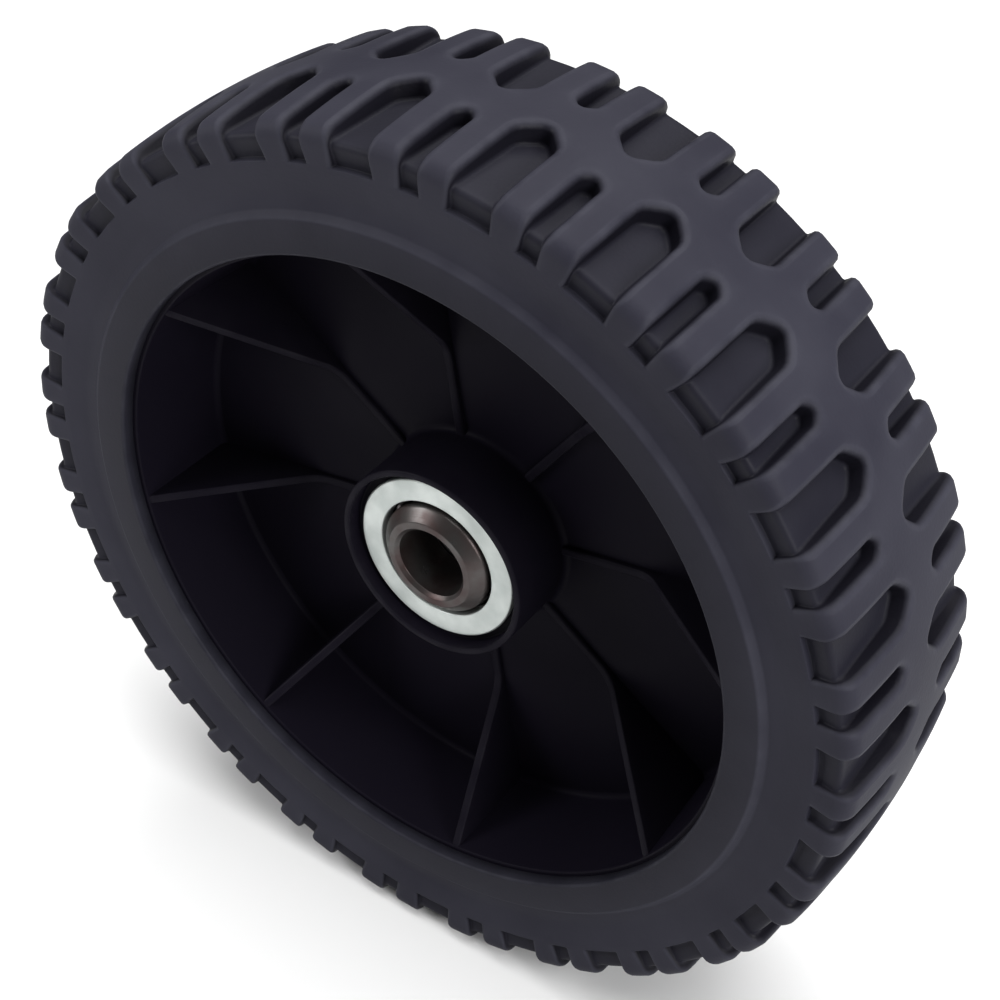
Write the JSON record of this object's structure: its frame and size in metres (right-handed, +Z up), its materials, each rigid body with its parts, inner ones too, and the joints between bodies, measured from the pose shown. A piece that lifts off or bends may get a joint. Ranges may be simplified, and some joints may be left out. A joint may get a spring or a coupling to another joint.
{
  "type": "tiller wheel",
  "caption": "Garden tiller wheel: crowned solid tyre with staggered cross slots on a dished, ribbed plastic rim, running on two flanged ball bearings.",
  "frame": {"origin": "centre of the tread on the axle line", "axes": "+Y along the axle from the open face to the rear, +Z up, +X to the right seen from the open face"},
  "size_m": [0.2032, 0.0508, 0.2032],
  "materials": {
    "tyre_rubber": "matte moulded rubber",
    "rim_plastic": "smooth black moulding",
    "zinc_steel": "bright zinc plated",
    "race_steel": "oiled turned steel",
    "ball_steel": "polished",
    "sleeve_steel": "plain drawn tube"
  },
  "bodies": {
    "axle_side": {"front_bearing_inner_race": "race_steel", "rear_bearing_inner_race": "race_steel", "spacer_sleeve": "sleeve_steel"},
    "wheel": {"tyre": "tyre_rubber", "rim": "rim_plastic", "front_bearing_outer_race": "zinc_steel", "rear_bearing_outer_race": "zinc_steel"},
    "front_ball_set": {"front_bearing_balls": "ball_steel"},
    "rear_ball_set": {"rear_bearing_balls": "ball_steel"}
  },
  "joints": [
    {"name": "wheel_spin", "type": "hinge", "parent": "axle_side", "child": "wheel", "pos_m": [0, 0, 0], "axis": [0, 1, 0], "continuous": true},
    {"name": "front_ball_orbit", "type": "hinge", "parent": "axle_side", "child": "front_ball_set", "pos_m": [0, 0, 0], "axis": [0, 1, 0], "continuous": true},
    {"name": "rear_ball_orbit", "type": "hinge", "parent": "axle_side", "child": "rear_ball_set", "pos_m": [0, 0, 0], "axis": [0, 1, 0], "continuous": true}
  ],
  "couplings": [
    {"joint": "front_ball_orbit", "follows": "wheel_spin", "ratio": 0.60366},
    {"joint": "rear_ball_orbit", "follows": "wheel_spin", "ratio": 0.60366}
  ]
}
